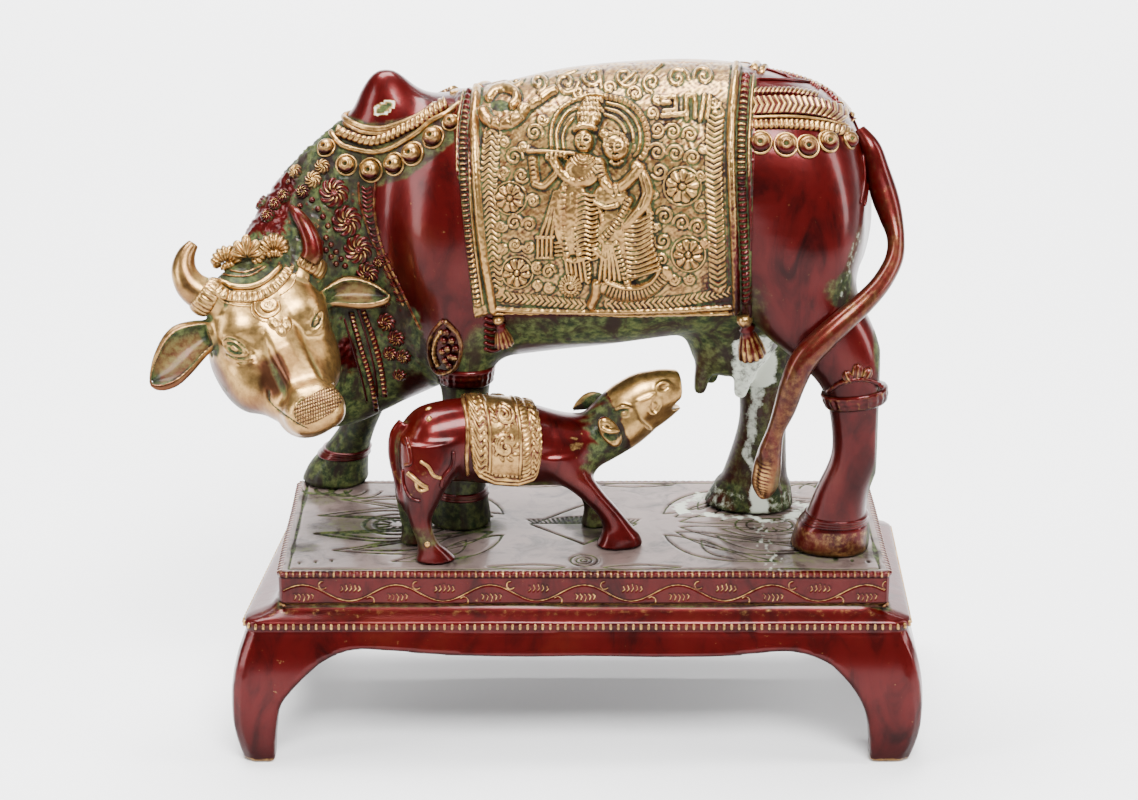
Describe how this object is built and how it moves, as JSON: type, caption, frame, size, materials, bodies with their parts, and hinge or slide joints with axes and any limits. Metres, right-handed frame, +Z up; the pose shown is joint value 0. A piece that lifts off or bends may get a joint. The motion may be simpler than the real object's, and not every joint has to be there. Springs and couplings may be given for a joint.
{
  "type": "cow and calf statue",
  "caption": "Cast metal statue of a humped cow with a relief blanket, her head turned aside, and a calf at her udder, on a low table-shaped base with splayed feet.",
  "frame": {"origin": "on the floor, under the middle of the footprint", "axes": "+X from the cow's head towards her tail, +Y away from the viewer's side, +Z up"},
  "size_m": [0.241, 0.0994, 0.2129],
  "materials": {
    "lacquer": "glossy maroon lacquer with wear and green patina",
    "brass": "polished high relief with green patina in the recesses"
  },
  "bodies": {
    "root": {"base": "lacquer", "cow": "lacquer", "calf": "lacquer"}
  },
  "joints": []
}
